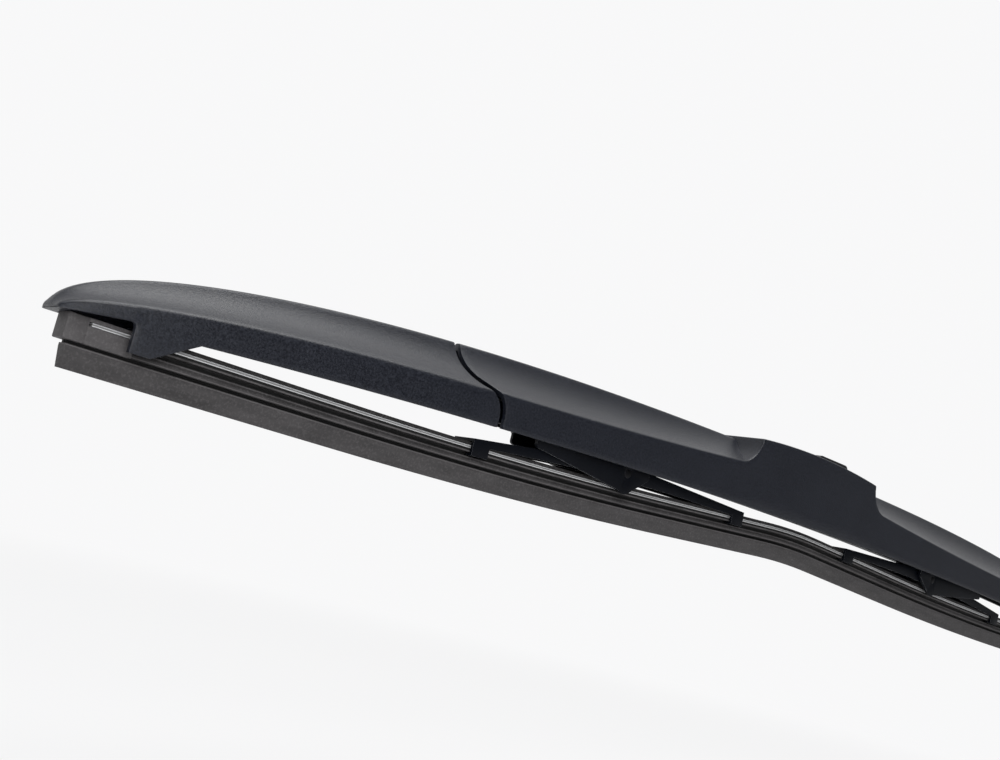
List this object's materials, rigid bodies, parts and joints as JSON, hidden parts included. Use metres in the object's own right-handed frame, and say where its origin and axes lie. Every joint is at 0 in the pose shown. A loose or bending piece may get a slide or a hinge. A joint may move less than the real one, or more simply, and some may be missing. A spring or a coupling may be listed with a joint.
{
  "type": "hybrid wiper blade",
  "caption": "Long windscreen wiper blade: black spoiler covers over sprung steel levers and yokes that press a rubber wiping edge evenly on curved glass.",
  "frame": {"origin": "middle of the arm pivot: the axis of the centre rivet inside the adapter's barrel, halfway across the blade", "axes": "+X along the blade, -Y towards the air stream that the covers' slope faces, +Z away from the glass"},
  "size_m": [0.596, 0.02, 0.051],
  "materials": {
    "cover_plastic": "fine-grained matt black moulding with a slight blue cast",
    "adapter_plastic": "smooth satin black moulding",
    "lever_paint": "satin black baked paint on pressed steel",
    "rivet_steel": "plain ground pin ends, slightly dulled",
    "bush_nylon": "waxy black nylon",
    "blade_rubber": "matt dark brown-grey rubber, slightly paler and worn at the lip",
    "strip_steel": "bright rolled spring steel with fine lengthwise grain"
  },
  "bodies": {
    "adapter": {"arm_adapter": "adapter_plastic"},
    "frame": {"primary_lever": "lever_paint", "centre_cover": "cover_plastic", "centre_rivet": "rivet_steel", "lever_pin_left": "rivet_steel", "lever_pin_right": "rivet_steel", "wiper_rubber": "blade_rubber", "vertebra_front": "strip_steel", "vertebra_rear": "strip_steel"},
    "left_lever": {"side_lever_left": "lever_paint", "side_cover_left": "cover_plastic", "lever_bush_left": "bush_nylon", "yoke_pin_left": "rivet_steel"},
    "right_lever": {"side_lever_right": "lever_paint", "side_cover_right": "cover_plastic", "lever_bush_right": "bush_nylon", "yoke_pin_right": "rivet_steel"},
    "left_yoke": {"yoke_left": "lever_paint", "yoke_bush_left": "bush_nylon"},
    "right_yoke": {"yoke_right": "lever_paint", "yoke_bush_right": "bush_nylon"}
  },
  "joints": [
    {"name": "arm_pivot", "type": "hinge", "parent": "adapter", "child": "frame", "pos_m": [0, 0, 0], "axis": [0, 1, 0], "range_deg": [-15, 15]},
    {"name": "left_lever_pivot", "type": "hinge", "parent": "frame", "child": "left_lever", "pos_m": [-0.156, 0, -0.00876], "axis": [0, 1, 0], "range_deg": [-3, 3], "stiffness_Nm_per_rad": 1.25, "springref_deg": 0.69, "deforming": ["wiper_rubber", "vertebra_front", "vertebra_rear"]},
    {"name": "right_lever_pivot", "type": "hinge", "parent": "frame", "child": "right_lever", "pos_m": [0.156, 0, -0.00876], "axis": [0, 1, 0], "range_deg": [-3, 3], "stiffness_Nm_per_rad": 1.25, "springref_deg": -0.69, "deforming": ["wiper_rubber", "vertebra_front", "vertebra_rear"]},
    {"name": "left_yoke_pivot", "type": "hinge", "parent": "left_lever", "child": "left_yoke", "pos_m": [-0.10065, 0, -0.01455], "axis": [0, 1, 0], "range_deg": [-6, 6], "deforming": ["wiper_rubber", "vertebra_front", "vertebra_rear"]},
    {"name": "right_yoke_pivot", "type": "hinge", "parent": "right_lever", "child": "right_yoke", "pos_m": [0.10065, 0, -0.01455], "axis": [0, 1, 0], "range_deg": [-6, 6], "deforming": ["wiper_rubber", "vertebra_front", "vertebra_rear"]}
  ],
  "couplings": [
    {"joint": "left_yoke_pivot", "follows": "left_lever_pivot", "ratio": -1.8752},
    {"joint": "right_yoke_pivot", "follows": "right_lever_pivot", "ratio": -1.8752}
  ]
}
